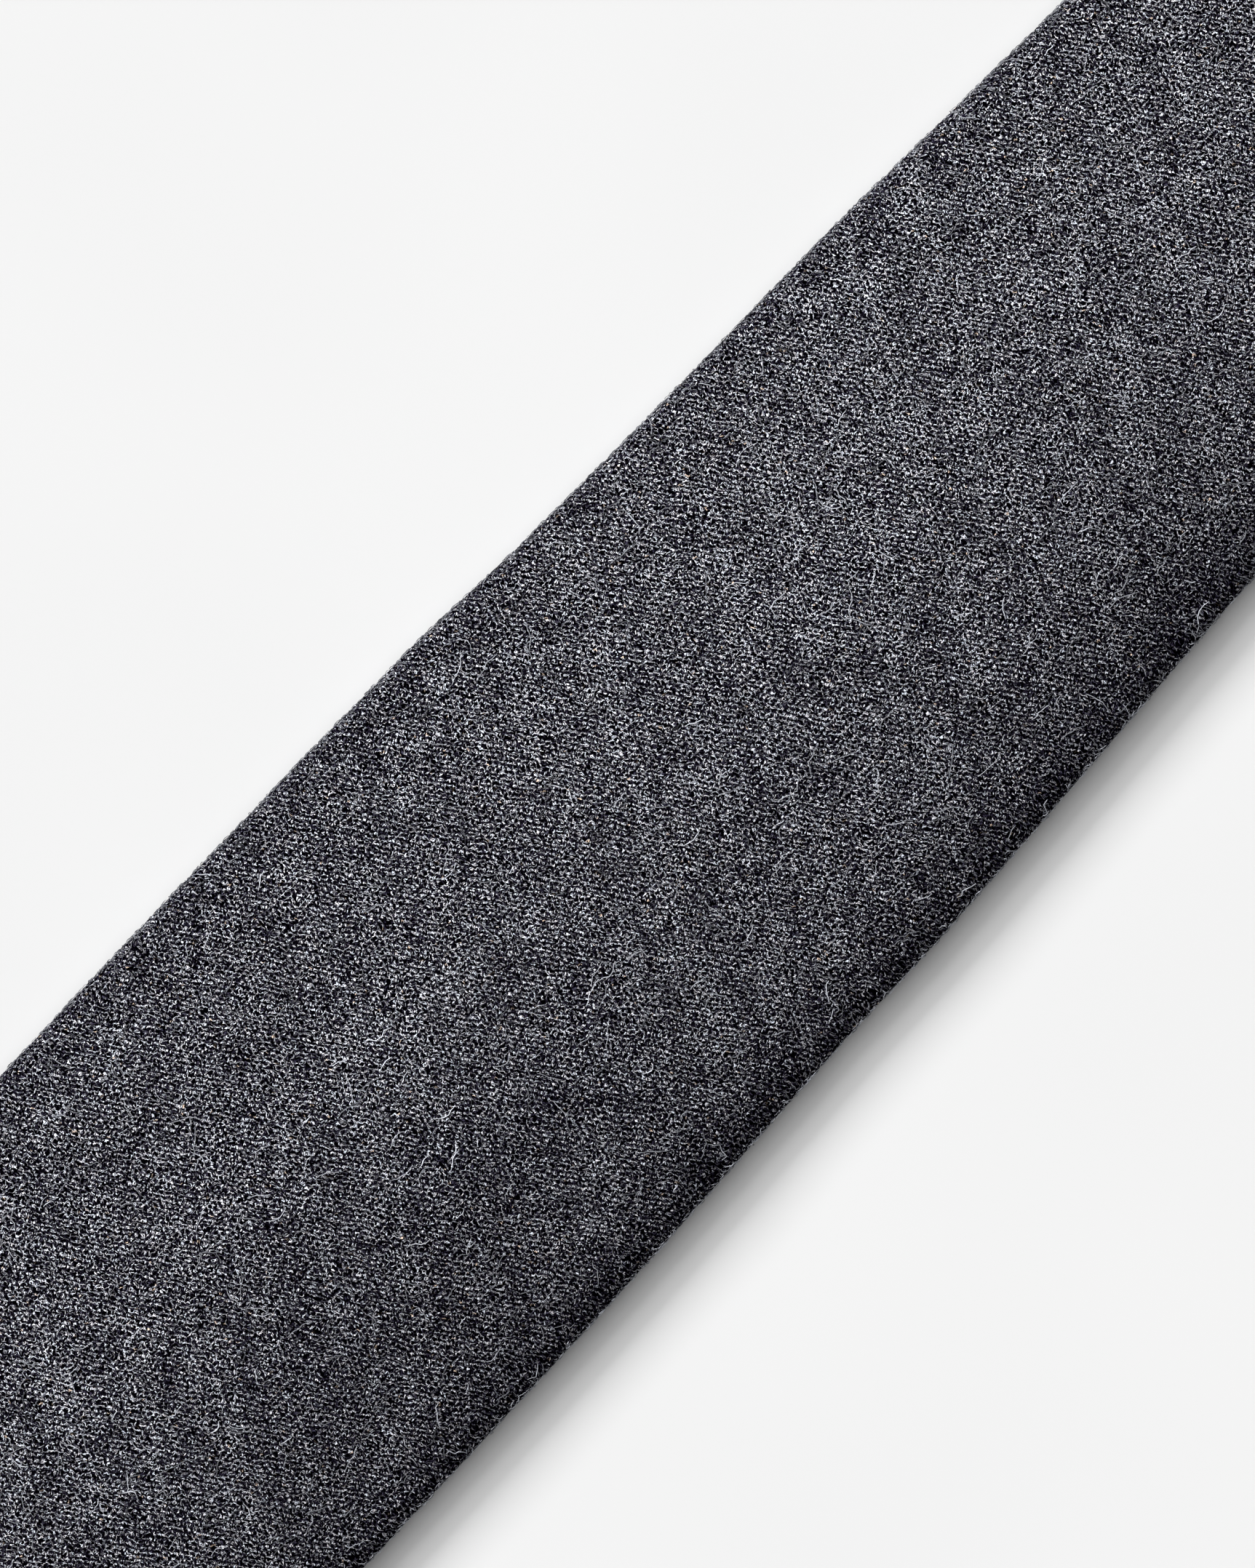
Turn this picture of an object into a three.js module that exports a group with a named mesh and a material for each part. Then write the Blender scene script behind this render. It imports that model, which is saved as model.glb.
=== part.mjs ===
// A skinny tie of felted wool twill, lying face up on a flat surface. The blade lies straight, the
// neckband has rolled up onto its outer edge and bends round half a turn, and the tail lies flat
// beside the blade. Millimetres, +Z up, +Y from the blade's point towards the neckband.
//
// A place on the tie is given by s, the distance along the tie from the blade's point, and by x and z
// in the section there: x across the tie, positive on the side of the loop's inside, z up from the
// underside. place() carries such a point onto the path that the tie lies along.
import * as THREE from 'three';

// Lengths along the tie
const TIE_LENGTH = 1470;
const BLADE_SEAM = 690;
const TAIL_SEAM = 990;

// Half widths of the body, measured across the tie, without the two points
const BODY_WIDTHS = [
  { s: 0, half: 30.0 },
  { s: 60, half: 29.95 },
  { s: 95, half: 29.75 },
  { s: 126, half: 29.05 },
  { s: 155, half: 28.1 },
  { s: 185, half: 27.2 },
  { s: 320, half: 23.4 },
  { s: 460, half: 19.6 },
  { s: 590, half: 16.0 },
  { s: 690, half: 15.2 },
  { s: 990, half: 15.2 },
  { s: 1110, half: 15.6 },
  { s: 1440, half: 18.6 },
  { s: 1470, half: 18.7 },
];

// The two right-angled points. half: half width at the shoulders. hem: how far the cloth turned to the
// back reaches in from the point, along the tie. tipping: how far the facing runs up inside.
const BLADE_POINT = { half: 30.0, hem: 8.5, tipping: 72 };
const TAIL_POINT = { half: 18.6, hem: 7.0, tipping: 46 };
const NOSE_HALF = 1.5;
const SHOULDER_ROUNDING = 2;
const SLANT_CHANGE = 5;

// Walls of the folded cloth, and the height of its rolled edges. LEDGE is the least flat beside the slit.
const FRONT_WALL = 1.1;
const FLAP_WALL = 1.0;
const TIPPING_WALL = 1.0;
const EDGE_HEIGHT = 3.4;
const NOSE_HEIGHT = 2.8;
const NOSE_RAMP = 6;
const LEDGE = 0.1;

// The front swells between the rolled edges. It leaves them at this slope, and flattens towards the middle.
const DOME_SLOPE = THREE.MathUtils.degToRad(10);
const DOME_POWER = 2.4;
const PIECE_GAP = 0.3;

// Back seam: a slit between the flaps at the bottom of a shallow valley. Its floor and rim are shares of
// the flat width, and it starts before the place where the flaps meet and is full after it.
const SLIT_HALF = 0.15;
const VALLEY_DEPTH = 0.75;
const VALLEY_FLOOR = 0.16;
const VALLEY_RIM = 0.34;
const VALLEY_START = 10;
const VALLEY_FULL = 4;

// Keeper loop on the back of the blade, and the hollow that it presses into the flaps
const LOOP = { s: 240, half: 17, height: 11, wall: 1.0, foot: 2.2, lift: 1.6, rim: 0.77, flat: 9, ramp: 14 };

// Bar tacks: thread bars across the slit, just above each inverted V of the flaps
const TACK = { pastFlaps: 9, width: 1.4, thickness: 0.4, clear: 0.3 };

// The way the tie lies: a half turn spread over a stretch, and the roll onto the outer edge
const TURN = { middle: 840, length: 440 };
const ROLL = { angle: THREE.MathUtils.degToRad(80), up: [560, 730], down: [950, 1120] };
const PATH_STEP = 1;

// The diagonal neck seams run at 45 degrees over the unrolled cloth. Stations lean into them gradually.
const SEAM_LEAN = 170;

const WOOL = { color: 0x4e4e54, roughness: 0.95, metalness: 0 };
const FACING = { color: 0x2b2c31, roughness: 0.7, metalness: 0 };
const THREAD = { color: 0x232328, roughness: 0.8, metalness: 0 };

const { clamp, smoothstep, lerp } = THREE.MathUtils;

function softMin(a, b, rounding) {
  return (a + b - Math.hypot(a - b, rounding)) / 2;
}

// Value of one column of a table at s, on a smooth curve through its rows
function along(rows, column, s) {
  const last = rows.length - 1;
  let i = 0;
  while (i < last - 1 && rows[i + 1].s <= s) i += 1;
  const slope = (k) => {
    const before = rows[Math.max(k - 1, 0)];
    const after = rows[Math.min(k + 1, last)];
    return (after[column] - before[column]) / (after.s - before.s);
  };
  const span = rows[i + 1].s - rows[i].s;
  const t = clamp((s - rows[i].s) / span, 0, 1);
  const rise = rows[i + 1][column] - rows[i][column];
  const bendIn = slope(i) * span - rise;
  const bendOut = rise - slope(i + 1) * span;
  return rows[i][column] + t * rise + t * (1 - t) * ((1 - t) * bendIn + t * bendOut);
}

// Distance from the nearer point, and that point's sizes
function nearestPoint(s) {
  const fromTail = TIE_LENGTH - s;
  return s < fromTail ? { point: BLADE_POINT, reach: s } : { point: TAIL_POINT, reach: fromTail };
}

// Distance from a point at which the two flaps meet in an inverted V. Between the hem and that place
// they leave a square standing on its corner, which shows the facing.
function flapsMeetAt(point) {
  return 2 * point.half - point.hem;
}

function halfWidth(s) {
  const { reach } = nearestPoint(s);
  return softMin(along(BODY_WIDTHS, 'half', s), NOSE_HALF + reach, SHOULDER_ROUNDING);
}

// Sizes of the section at s
function sectionAt(s) {
  const { point, reach } = nearestPoint(s);
  const half = halfWidth(s);
  const edge = lerp(NOSE_HEIGHT, EDGE_HEIGHT, smoothstep(reach, 0, NOSE_RAMP));
  // Along a point's slanting edge the section cuts the rolled fold at 45 degrees, which widens it
  const slantChange = smoothstep(reach, point.half - SLANT_CHANGE, point.half + SLANT_CHANGE);
  const slant = lerp(Math.SQRT2, 1, slantChange);
  const roll = Math.min(slant * edge / 2, half - SLIT_HALF - LEDGE);
  const domeHalf = half - roll + roll * Math.sin(DOME_SLOPE);
  const opening = Math.max(SLIT_HALF, point.half - point.hem - Math.abs(reach - point.half));
  const meet = flapsMeetAt(point);
  const cavity = edge - FRONT_WALL - FLAP_WALL;
  const innerHalf = Math.max(half - slant * FRONT_WALL, SLIT_HALF + 2 * LEDGE);
  return {
    half,
    edge,
    roll,
    opening,
    flat: half - roll,
    domeHalf,
    domeRise: domeHalf * Math.tan(DOME_SLOPE) / DOME_POWER,
    valley: VALLEY_DEPTH * smoothstep(reach, meet - VALLEY_START, meet + VALLEY_FULL),
    loopLift: LOOP.lift * (1 - smoothstep(Math.abs(s - LOOP.s), LOOP.flat, LOOP.flat + LOOP.ramp)),
    innerHalf,
    innerRoll: Math.min(slant * cavity / 2, innerHalf - SLIT_HALF - LEDGE),
  };
}

// Height of the front at x, between the places where the two rolled folds take over
function frontHeight(section, x) {
  const fold = section.edge / 2 * (1 + Math.cos(DOME_SLOPE));
  return fold + section.domeRise * (1 - (Math.abs(x) / section.domeHalf) ** DOME_POWER);
}

// Height of the flaps' underside: zero on the surface, raised in the seam's valley and over the keeper loop
function undersideHeight(section, q) {
  const across = Math.abs(q);
  const valley = section.valley * (1 - smoothstep(across, VALLEY_FLOOR, VALLEY_RIM));
  const underLoop = (section.loopLift / LOOP.lift) * (1 - smoothstep(across, LOOP.rim, 1));
  return lerp(valley, LOOP.lift, underLoop);
}

// Nodes round the section. On the front and the flaps q is a share of their half width. On the rolled
// folds turn is the angle in degrees from straight up round to the flap.
const FRONT_SHARES = [-1, -0.88, -0.65, -0.35, 0, 0.35, 0.65, 0.88, 1];
const INNER_FRONT_SHARES = [-1, -0.6, 0, 0.6, 1];
const FLAP_SHARES = [1, 0.76, 0.34, 0.25, 0.16, 0];
const INNER_FLAP_SHARES = [1, 0.76, 0.34, 0.16, 0];
const ROLL_TURNS = [45, 90, 135];
const INNER_ROLL_TURNS = [90];

function skinNodes(side, frontShares, rollTurns, flapShares) {
  const half = (sign) => [
    ...rollTurns.map((turn) => ({ side, part: 'roll', sign, turn })),
    ...flapShares.map((q) => ({ side, part: 'flap', sign, q })),
  ];
  const front = frontShares.map((q) => ({ side, part: 'front', sign: Math.sign(q), q }));
  return [...half(-1).reverse(), ...front, ...half(1)];
}

// The outer skin from flap to flap, then the inner skin back
const OUTER_NODES = skinNodes('outer', FRONT_SHARES, ROLL_TURNS, FLAP_SHARES);
const INNER_NODES = skinNodes('inner', INNER_FRONT_SHARES, INNER_ROLL_TURNS, INNER_FLAP_SHARES);
const SECTION_NODES = [...OUTER_NODES, ...INNER_NODES.toReversed()];
const OUTER_COUNT = OUTER_NODES.length;

// A node's way round the section: 0 in mid front, 1 to 2 on a rolled fold, 3 at the slit
function wayAcross({ part, sign, q, turn }) {
  if (part === 'front') return q;
  return sign * (part === 'roll' ? 1 + turn / 180 : 3 - q);
}

// x and z of a node in the section
function nodeInSection(section, node) {
  const outer = node.side === 'outer';
  const half = outer ? section.half : section.innerHalf;
  const roll = outer ? section.roll : section.innerRoll;
  const flat = half - roll;
  const frontWall = outer ? 0 : FRONT_WALL;
  const top = outer ? section.edge : frontHeight(section, flat) - FRONT_WALL;
  const bottom = outer ? 0 : FLAP_WALL;
  if (node.part === 'front') {
    const x = node.q * (outer ? section.domeHalf : flat);
    return { x, z: frontHeight(section, x) - frontWall };
  }
  if (node.part === 'roll') {
    const turn = THREE.MathUtils.degToRad(node.turn);
    const middle = (top + bottom) / 2;
    return {
      x: node.sign * (flat + roll * Math.sin(turn)),
      z: middle + (top - bottom) / 2 * Math.cos(turn),
    };
  }
  const opening = Math.min(section.opening, flat - LEDGE / 2);
  const x = lerp(opening, flat, node.q);
  return { x: node.sign * x, z: bottom + undersideHeight(section, x / section.flat) };
}

// Distance over the unrolled cloth from the middle of the front, positive on the inner side of the loop
function unrolled(section, node) {
  if (node.part === 'front') return node.q * section.domeHalf;
  const roundFold = Math.PI / 2 * section.edge;
  if (node.part === 'roll') return node.sign * (section.flat + roundFold * node.turn / 180);
  return node.sign * (section.flat + roundFold + (1 - node.q) * section.flat);
}

// Heading of the path at s, in radians from +Y towards +X
function headingAt(s) {
  const t = clamp(s - TURN.middle, -TURN.length / 2, TURN.length / 2) / TURN.length;
  return Math.PI * (t + 0.5) + Math.sin(2 * Math.PI * t) / 2;
}

// Middle line of the tie seen from above, one point for each step along it
const pathPoints = [new THREE.Vector2(0, 0)];
for (let s = 0; s < TIE_LENGTH; s += PATH_STEP) {
  const heading = headingAt(s + PATH_STEP / 2);
  const step = new THREE.Vector2(Math.sin(heading), Math.cos(heading)).multiplyScalar(PATH_STEP);
  pathPoints.push(pathPoints.at(-1).clone().add(step));
}

function pathAt(s) {
  const i = clamp(Math.floor(s / PATH_STEP), 0, pathPoints.length - 2);
  return pathPoints[i].clone().lerp(pathPoints[i + 1], s / PATH_STEP - i);
}

function rollAngleAt(s) {
  return ROLL.angle * smoothstep(s, ...ROLL.up) * (1 - smoothstep(s, ...ROLL.down));
}

// Carries x and z of the section at s onto the path. The section turns about the centre of its outer
// rolled fold, which keeps touching the surface.
function place(s, { x, z }) {
  const heading = headingAt(s);
  const angle = rollAngleAt(s);
  const radius = EDGE_HEIGHT / 2;
  const inward = x * Math.cos(angle) - (z - radius) * Math.sin(angle);
  const lift = (x + halfWidth(s) - radius) * Math.sin(angle) + (z - radius) * Math.cos(angle);
  const middle = pathAt(s);
  return new THREE.Vector3(
    middle.x + inward * Math.cos(heading),
    middle.y - inward * Math.sin(heading),
    radius + lift,
  );
}

// Triangles that close the end of a wall between its two skins. The ring of nodes runs along the first
// skin and back along the second, and ways holds how far across the cloth each node lies.
function capTriangles(ways, firstCount) {
  const triangles = [];
  let i = 0;
  let j = ways.length - 1;
  while (i < firstCount - 1 || j > firstCount) {
    const alongFirst = j === firstCount || (i < firstCount - 1 && ways[i + 1] <= ways[j - 1]);
    triangles.push(alongFirst ? [i, i + 1, j] : [i, j - 1, j]);
    if (alongFirst) i += 1;
    else j -= 1;
  }
  return triangles;
}

// A closed body from rings of points with the same nodes
function bodyFromRings(rings, ways, firstCount) {
  const count = ways.length;
  const triangles = [];
  for (let ring = 0; ring < rings.length - 1; ring += 1) {
    for (let i = 0; i < count; i += 1) {
      const here = ring * count;
      const next = (i + 1) % count;
      triangles.push([here + i, here + count + i, here + next]);
      triangles.push([here + next, here + count + i, here + count + next]);
    }
  }
  const lastRing = (rings.length - 1) * count;
  for (const [a, b, c] of capTriangles(ways, firstCount)) {
    triangles.push([a, b, c], [lastRing + a, lastRing + c, lastRing + b]);
  }
  const positions = rings.flat().flatMap((point) => point.toArray());
  const geometry = new THREE.BufferGeometry();
  geometry.setAttribute('position', new THREE.Float32BufferAttribute(positions, 3));
  geometry.setIndex(triangles.flat());
  return facingOut(geometry);
}

// Turns all faces round if they point inwards, which the sign of the volume shows
function facingOut(geometry) {
  const position = geometry.getAttribute('position');
  const index = geometry.getIndex();
  const corner = [new THREE.Vector3(), new THREE.Vector3(), new THREE.Vector3()];
  let volume = 0;
  for (let i = 0; i < index.count; i += 3) {
    corner.forEach((point, k) => point.fromBufferAttribute(position, index.getX(i + k)));
    volume += corner[0].dot(corner[1].cross(corner[2])) / 6;
  }
  if (volume < 0) {
    for (let i = 0; i < index.count; i += 3) {
      const kept = index.getX(i + 1);
      index.setX(i + 1, index.getX(i + 2));
      index.setX(i + 2, kept);
    }
  }
  return geometry;
}

// Even steps from one place to another, both ends included
function steps(from, to, count) {
  return Array.from({ length: count + 1 }, (_, i) => lerp(from, to, i / count));
}

// How far the stations lean over at s, from upright far from a neck seam to 45 degrees at it
function leanAt(s) {
  const fromSeam = Math.max(BLADE_SEAM - s, s - TAIL_SEAM, 0);
  return 1 - smoothstep(fromSeam, 0, SEAM_LEAN);
}

// One length of the folded cloth, through the given stations
function clothShell(stations) {
  const rings = stations.map((station) => SECTION_NODES.map((node) => {
    const s = station + leanAt(station) * unrolled(sectionAt(station), node);
    return place(s, nodeInSection(sectionAt(s), node));
  }));
  return bodyFromRings(rings, SECTION_NODES.map(wayAcross), OUTER_COUNT);
}

// Stations at a point, from its tip to past the end of the facing, as distances from the tip
function pointStations(point) {
  const meet = flapsMeetAt(point);
  return [
    0, 1.5, 3.5, 6, point.hem,
    ...steps(point.hem, point.half - 2, 4).slice(1),
    point.half, point.half + 2,
    ...steps(point.half + 2, meet, 3).slice(1),
    meet + VALLEY_FULL, meet + 2 * VALLEY_FULL,
    point.tipping + 4,
  ];
}

// Half of a neck seam's gap, measured along the tie
const SEAM_GAP = PIECE_GAP * Math.SQRT2 / 2;

function bladeShell() {
  return clothShell([
    ...pointStations(BLADE_POINT),
    100, 140, 180,
    LOOP.s - LOOP.flat - LOOP.ramp, LOOP.s - LOOP.flat - LOOP.ramp / 2, LOOP.s - LOOP.flat,
    LOOP.s + LOOP.flat, LOOP.s + LOOP.flat + LOOP.ramp / 2, LOOP.s + LOOP.flat + LOOP.ramp,
    ...steps(320, 520, 3),
    ...steps(545, BLADE_SEAM - SEAM_GAP, 10),
  ]);
}

function neckShell() {
  return clothShell(steps(BLADE_SEAM + SEAM_GAP, TAIL_SEAM - SEAM_GAP, 24));
}

function tailShell() {
  return clothShell([
    ...steps(TAIL_SEAM + SEAM_GAP, 1130, 10),
    1170, 1240, 1330,
    ...pointStations(TAIL_POINT).reverse().map((reach) => TIE_LENGTH - reach),
  ]);
}

// The facing inside a point: a slab over the hem and under the front, following the seam's valley
const TIPPING_SHARES = [-1, -0.36, -0.17, 0.17, 0.36, 1];
const TIPPING_START = 7;
const TIPPING_INSET = 5;

function tipping(point, stationOf) {
  const meet = flapsMeetAt(point);
  const reaches = [
    ...steps(TIPPING_START, point.half, 4),
    ...steps(meet - VALLEY_START, meet + VALLEY_FULL, 4),
    point.tipping,
  ];
  const rings = reaches.map((reach) => {
    const s = stationOf(reach);
    const section = sectionAt(s);
    const slant = section.roll / (section.edge / 2);
    const half = section.half - TIPPING_INSET * slant;
    const bottom = TIPPING_SHARES.map((q) => {
      const x = q * half;
      return { x, z: FLAP_WALL + PIECE_GAP + undersideHeight(section, x / section.flat) };
    });
    const top = bottom.map(({ x, z }) => ({ x, z: z + TIPPING_WALL })).reverse();
    return [...bottom, ...top].map((corner) => place(s, corner));
  });
  const ways = [...TIPPING_SHARES, ...TIPPING_SHARES.toReversed()];
  return bodyFromRings(rings, ways, TIPPING_SHARES.length);
}

// The keeper loop: a strap on the surface, with a foot at each end that reaches up to the flap
function keeperLoop() {
  const { half, height, wall, foot, lift } = LOOP;
  const corner = wall / 3;
  const strap = new THREE.Shape([
    new THREE.Vector2(-half + corner, 0),
    new THREE.Vector2(half - corner, 0),
    new THREE.Vector2(half, corner),
    new THREE.Vector2(half, lift - PIECE_GAP),
    new THREE.Vector2(half - foot, lift - PIECE_GAP),
    new THREE.Vector2(half - foot - corner, wall),
    new THREE.Vector2(-half + foot + corner, wall),
    new THREE.Vector2(-half + foot, lift - PIECE_GAP),
    new THREE.Vector2(-half, lift - PIECE_GAP),
    new THREE.Vector2(-half, corner),
  ]);
  const geometry = new THREE.ExtrudeGeometry(strap, { depth: height, bevelEnabled: false });
  // The strap's outline stands upright across the tie, so the extrusion turns from +Z to -Y
  geometry.rotateX(Math.PI / 2);
  geometry.translate(0, LOOP.s + height / 2, 0);
  return geometry;
}

// A bar tack: a flattened round bar across the slit, in the floor of the valley
function barTack(point, stationOf) {
  const s = stationOf(flapsMeetAt(point) + TACK.pastFlaps);
  const length = 2 * (VALLEY_FLOOR * sectionAt(s).flat - TACK.clear);
  const geometry = new THREE.CapsuleGeometry(TACK.width / 2, length - TACK.width, 3, 8);
  geometry.rotateZ(Math.PI / 2);
  geometry.scale(1, 1, TACK.thickness / TACK.width);
  const middle = place(s, { x: 0, z: VALLEY_DEPTH - PIECE_GAP - TACK.thickness / 2 });
  geometry.translate(middle.x, middle.y, middle.z);
  return geometry;
}

function piece(name, geometry, finish) {
  const mesh = new THREE.Mesh(geometry, new THREE.MeshStandardMaterial(finish));
  mesh.name = name;
  return mesh;
}

const fromBlade = (reach) => reach;
const fromTail = (reach) => TIE_LENGTH - reach;

const lying = new THREE.Group();
lying.add(
  piece('blade_shell', bladeShell(), WOOL),
  piece('neck_shell', neckShell(), WOOL),
  piece('tail_shell', tailShell(), WOOL),
  piece('blade_tipping', tipping(BLADE_POINT, fromBlade), FACING),
  piece('tail_tipping', tipping(TAIL_POINT, fromTail), FACING),
  piece('keeper_loop', keeperLoop(), WOOL),
  piece('blade_bar_tack', barTack(BLADE_POINT, fromBlade), THREAD),
  piece('tail_bar_tack', barTack(TAIL_POINT, fromTail), THREAD),
);

// The origin is the middle of the tie's box, on the surface that it lies on
const box = new THREE.Box3().setFromObject(lying, true);
const middle = box.getCenter(new THREE.Vector3());
lying.position.set(-middle.x, -middle.y, -box.min.z);

const tie = new THREE.Group();
tie.add(lying);
tie.updateMatrixWorld(true);

export default tie;
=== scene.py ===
# %% [markdown]
# This lesson dresses a packed solid model of a skinny tie in fuzzy charcoal wool. The solid model gives
# the sizes, the place and the collision; every visible piece here is worked out again, finer, from the
# same few measures. The tie lies face up: the blade straight, the neckband rolled onto its outer edge
# and bent round half a turn, the tail flat beside the blade. A cloth simulation could fold a flat strip,
# but a pressed tie keeps its folds, and formulas give them exactly and the same in every run.

# %% Load the frame
import bpy
import numpy as np
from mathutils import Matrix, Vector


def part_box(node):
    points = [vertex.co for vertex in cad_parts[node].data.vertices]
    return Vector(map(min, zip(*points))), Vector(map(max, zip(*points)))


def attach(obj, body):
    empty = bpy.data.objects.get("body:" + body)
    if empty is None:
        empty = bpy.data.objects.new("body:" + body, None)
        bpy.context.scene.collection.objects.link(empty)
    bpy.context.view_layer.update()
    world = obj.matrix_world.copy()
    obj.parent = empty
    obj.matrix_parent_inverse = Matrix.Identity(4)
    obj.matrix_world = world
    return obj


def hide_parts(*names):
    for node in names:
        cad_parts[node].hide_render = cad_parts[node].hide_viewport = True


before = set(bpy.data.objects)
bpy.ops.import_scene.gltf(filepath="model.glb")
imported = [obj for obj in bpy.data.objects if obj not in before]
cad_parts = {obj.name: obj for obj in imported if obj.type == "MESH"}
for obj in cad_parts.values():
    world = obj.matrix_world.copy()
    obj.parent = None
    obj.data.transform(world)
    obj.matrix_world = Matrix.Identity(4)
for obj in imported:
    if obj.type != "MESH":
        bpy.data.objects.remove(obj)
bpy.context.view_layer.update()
MM = 0.001

# %% [markdown]
# The photograph looks straight down on the wide end, and the tie crosses it from the lower left to the
# upper right. The tie could be turned for that, but the camera is, so that the tie keeps its own axes.
# A long lens keeps the view flat, and its sensor spans the picture's height. The blade's point is the
# lowest Y of its shell.

# %% Camera
BLADE_MIDDLE = sum(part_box("blade_tipping")[k][0] for k in (0, 1)) / 2
BLADE_TIP_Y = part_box("blade_shell")[0][1]
PHOTO_HEIGHT = 2156
MM_PER_PIXEL = 0.0725
TIE_SLANT = np.radians(46.7)
VIEW_ALONG = 130 * MM
VIEW_ACROSS = -4.35 * MM
CAMERA_HEIGHT = 0.9
SENSOR = 36.0
FARTHEST_SEEN = 200


def linked(name, data):
    """A new object of the scene that shows the data."""
    made = bpy.data.objects.new(name, data)
    bpy.context.collection.objects.link(made)
    return made


camera_data = bpy.data.cameras.new("camera")
camera_data.sensor_width = SENSOR
camera_data.lens = SENSOR * CAMERA_HEIGHT / (PHOTO_HEIGHT * MM_PER_PIXEL * MM)
camera_data.clip_end = FARTHEST_SEEN
camera = linked("camera", camera_data)
camera.location = (BLADE_MIDDLE + VIEW_ACROSS, BLADE_TIP_Y + VIEW_ALONG, CAMERA_HEIGHT)
camera.rotation_euler = (0, 0, np.pi / 2 - TIE_SLANT)
bpy.context.scene.camera = camera
print("lens, mm:", round(camera_data.lens, 1))

# %% [markdown]
# A tie is cut from cloth and folded, so two numbers find any place on it: s, the distance along the
# tie from the blade's point, and a place across. Its body narrows slowly from 60 mm to a neckband of
# 30 mm and widens again to the tail. That edge could be drawn by hand, but a smooth curve through a
# short table gives it here, because each row is a width that can be measured.

# %% Widths along the tie
def table(columns, *rows):
    """Rows of numbers with named columns."""
    return np.array(list(rows), dtype=[(name, float) for name in columns.split()])


TIE_LENGTH = 1470
BLADE_SEAM = 690
TAIL_SEAM = 990
BODY_WIDTHS = table(
    "s half",
    (0, 30.0), (60, 29.95), (95, 29.75), (126, 29.05), (155, 28.1), (185, 27.2), (320, 23.4),
    (460, 19.6), (590, 16.0), (690, 15.2), (990, 15.2), (1110, 15.6), (1440, 18.6), (1470, 18.7),
)
BLADE_POINT = dict(half=30.0, hem=8.5, tipping=72)
TAIL_POINT = dict(half=18.6, hem=7.0, tipping=46)
NOSE_HALF = 1.5
SHOULDER_ROUNDING = 2


def smoothstep(low, high, x):
    """0 below low, 1 above high, and 3t^2 - 2t^3 between, with t the share of the way."""
    t = np.clip((x - low) / (high - low), 0, 1)
    return t * t * (3 - 2 * t)


def lerp(a, b, t):
    """a at t = 0, b at t = 1, in a straight line."""
    return a + (b - a) * t


def body_half(s):
    """A cubic through the table's rows, whose slope at a row is that between the row's neighbours."""
    at, half = BODY_WIDTHS["s"], BODY_WIDTHS["half"]
    row = np.arange(len(at))
    before, after = np.maximum(row - 1, 0), np.minimum(row + 1, len(at) - 1)
    slope = (half[after] - half[before]) / (at[after] - at[before])
    i = np.clip(np.searchsorted(at, s, side="right") - 1, 0, len(at) - 2)
    span, rise = at[i + 1] - at[i], half[i + 1] - half[i]
    t = np.clip((s - at[i]) / span, 0, 1)
    bend_in, bend_out = slope[i] * span - rise, rise - slope[i + 1] * span
    return half[i] + t * rise + t * (1 - t) * ((1 - t) * bend_in + t * bend_out)


def reach_of(s):
    """Distance from the nearer point of the tie."""
    return np.minimum(s, TIE_LENGTH - s)


def half_width(s):
    """The body's half width, cut off by the right-angled points with a softened minimum."""
    body, point = body_half(s), NOSE_HALF + reach_of(s)
    return (body + point - np.hypot(body - point, SHOULDER_ROUNDING)) / 2


print("widths, mm:", np.round(2 * half_width(np.array([30, 130, 400, 840, 1440])), 1).tolist())

# %% [markdown]
# Cut across, the tie is one cloth folded round: a slightly swollen front, two rolled edges, and two
# flaps that meet along the middle of the back in a shallow valley. Near a point the cloth thins. Over
# the wide end the layers inside crown the front, lift its left edge and let its right edge roll wider.
# Under the keeper loop the flaps give the strap some room. Each piece could have its own sizes, but all
# read these, so that they fit one another.

# %% Sizes of the fold
FRONT_WALL = 1.1
FLAP_WALL = 1.0
EDGE_HEIGHT = 3.4
NOSE_HEIGHT = 2.8
NOSE_RAMP = 6
LEDGE = 0.1
DOME_SLOPE = np.radians(10)
DOME_POWER = 2.4
CROWN = dict(
    starts=(8, 60), ends=(300, 520), height=0.7,
    lift=(0.9, 0.0), spread=(0.0, 1.0), slope=(np.radians(-5), np.radians(4)),
)
SLIT_HALF = 0.15
VALLEY = dict(depth=0.75, floor=0.16, rim=0.34, start=10, full=4)
LOOP = dict(s=240, half=17, height=11, lift=1.6, rim=0.77, flat=9, ramp=14)
SLANT_CHANGE = 5


def point_value(s, key):
    """A size of the nearer of the two points."""
    return np.where(s < TIE_LENGTH / 2, BLADE_POINT[key], TAIL_POINT[key])


def crown_at(s):
    """0 at the point, 1 over the wide end, and 0 again up the tie."""
    return smoothstep(*CROWN["starts"], s) * (1 - smoothstep(*CROWN["ends"], s))


print("crown, share:", crown_at(np.array([0, 30, 130, 400, 690])).round(2).tolist())

# %% [markdown]
# A rolled edge is half an ellipse, and the front is a dome. A Bevel modifier could round where they
# meet. Here the dome leaves the ellipse where both have the same slope, and falls by a power that gives
# it that slope, so there is no crease to round.

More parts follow.
